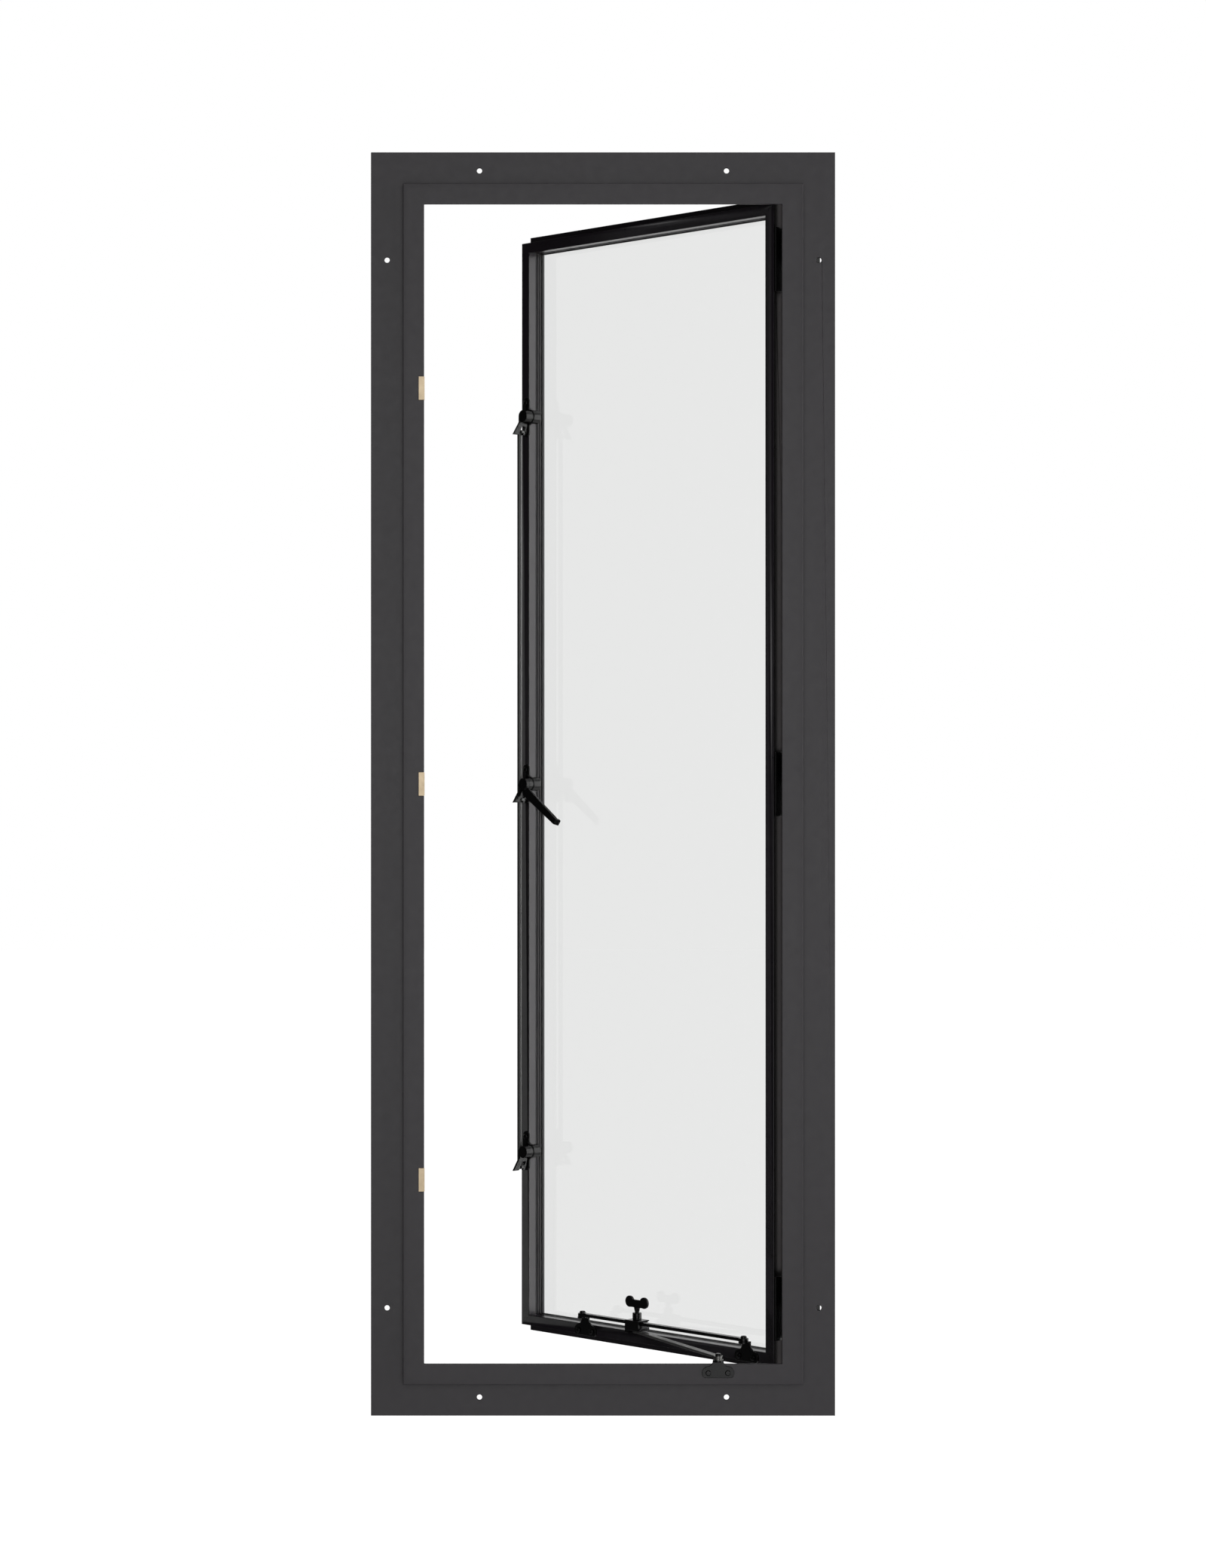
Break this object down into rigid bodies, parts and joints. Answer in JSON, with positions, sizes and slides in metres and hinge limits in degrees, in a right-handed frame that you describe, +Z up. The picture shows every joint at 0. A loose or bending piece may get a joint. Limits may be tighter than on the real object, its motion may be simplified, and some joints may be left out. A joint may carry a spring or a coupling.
{
  "type": "steel casement window",
  "caption": "Outswing steel casement window standing open, with a fixing fin, lift-off hinges, a tied three-point lock with a lever handle and a sliding friction stay.",
  "frame": {"origin": "middle of the sill fin, on the face of the fin that bears on the wall", "axes": "+X across the window towards the hinges, +Y outdoors, +Z up"},
  "size_m": [0.56, 0.3805, 1.524],
  "materials": {
    "frame_paint": "satin dark bronze-grey paint",
    "sash_paint": "satin dark bronze-grey paint",
    "bead_paint": "satin dark bronze-grey paint",
    "hardware_paint": "satin dark paint over cast metal",
    "worn_steel": "rubbed bright on its edges",
    "strike_brass": "brushed",
    "glass": "clear",
    "glazing_tape": "matt"
  },
  "bodies": {
    "root": {"bead_bottom": "bead_paint", "bead_hinge": "bead_paint", "bead_lock": "bead_paint", "bead_top": "bead_paint", "frame_head": "frame_paint", "frame_hinge_jamb": "frame_paint", "frame_lock_jamb": "frame_paint", "frame_sill": "frame_paint", "glass_pane": "glass", "glazing_tape": "glazing_tape", "hinge_frame_leaf_bottom": "hardware_paint", "hinge_frame_leaf_middle": "hardware_paint", "hinge_frame_leaf_top": "hardware_paint", "hinge_pin_bottom": "hardware_paint", "hinge_pin_middle": "hardware_paint", "hinge_pin_top": "hardware_paint", "hinge_sash_leaf_bottom": "hardware_paint", "hinge_sash_leaf_middle": "hardware_paint", "hinge_sash_leaf_top": "hardware_paint", "lock_cam_bottom": "hardware_paint", "lock_cam_middle": "hardware_paint", "lock_cam_top": "hardware_paint", "lock_handle": "hardware_paint", "lock_housing_bottom": "hardware_paint", "lock_housing_middle": "hardware_paint", "lock_housing_top": "hardware_paint", "lock_tie_bar": "worn_steel", "sash_bottom_rail": "sash_paint", "sash_hinge_stile": "sash_paint", "sash_lock_stile": "sash_paint", "sash_top_rail": "sash_paint", "stay_arm": "worn_steel", "stay_bracket_hinge_side": "hardware_paint", "stay_bracket_lock_side": "hardware_paint", "stay_guide_bar": "hardware_paint", "stay_pivot_stud": "worn_steel", "stay_sill_bracket": "hardware_paint", "stay_slider": "hardware_paint", "stay_thumbscrew": "hardware_paint", "strike_bottom": "strike_brass", "strike_middle": "strike_brass", "strike_top": "strike_brass"}
  },
  "joints": []
}
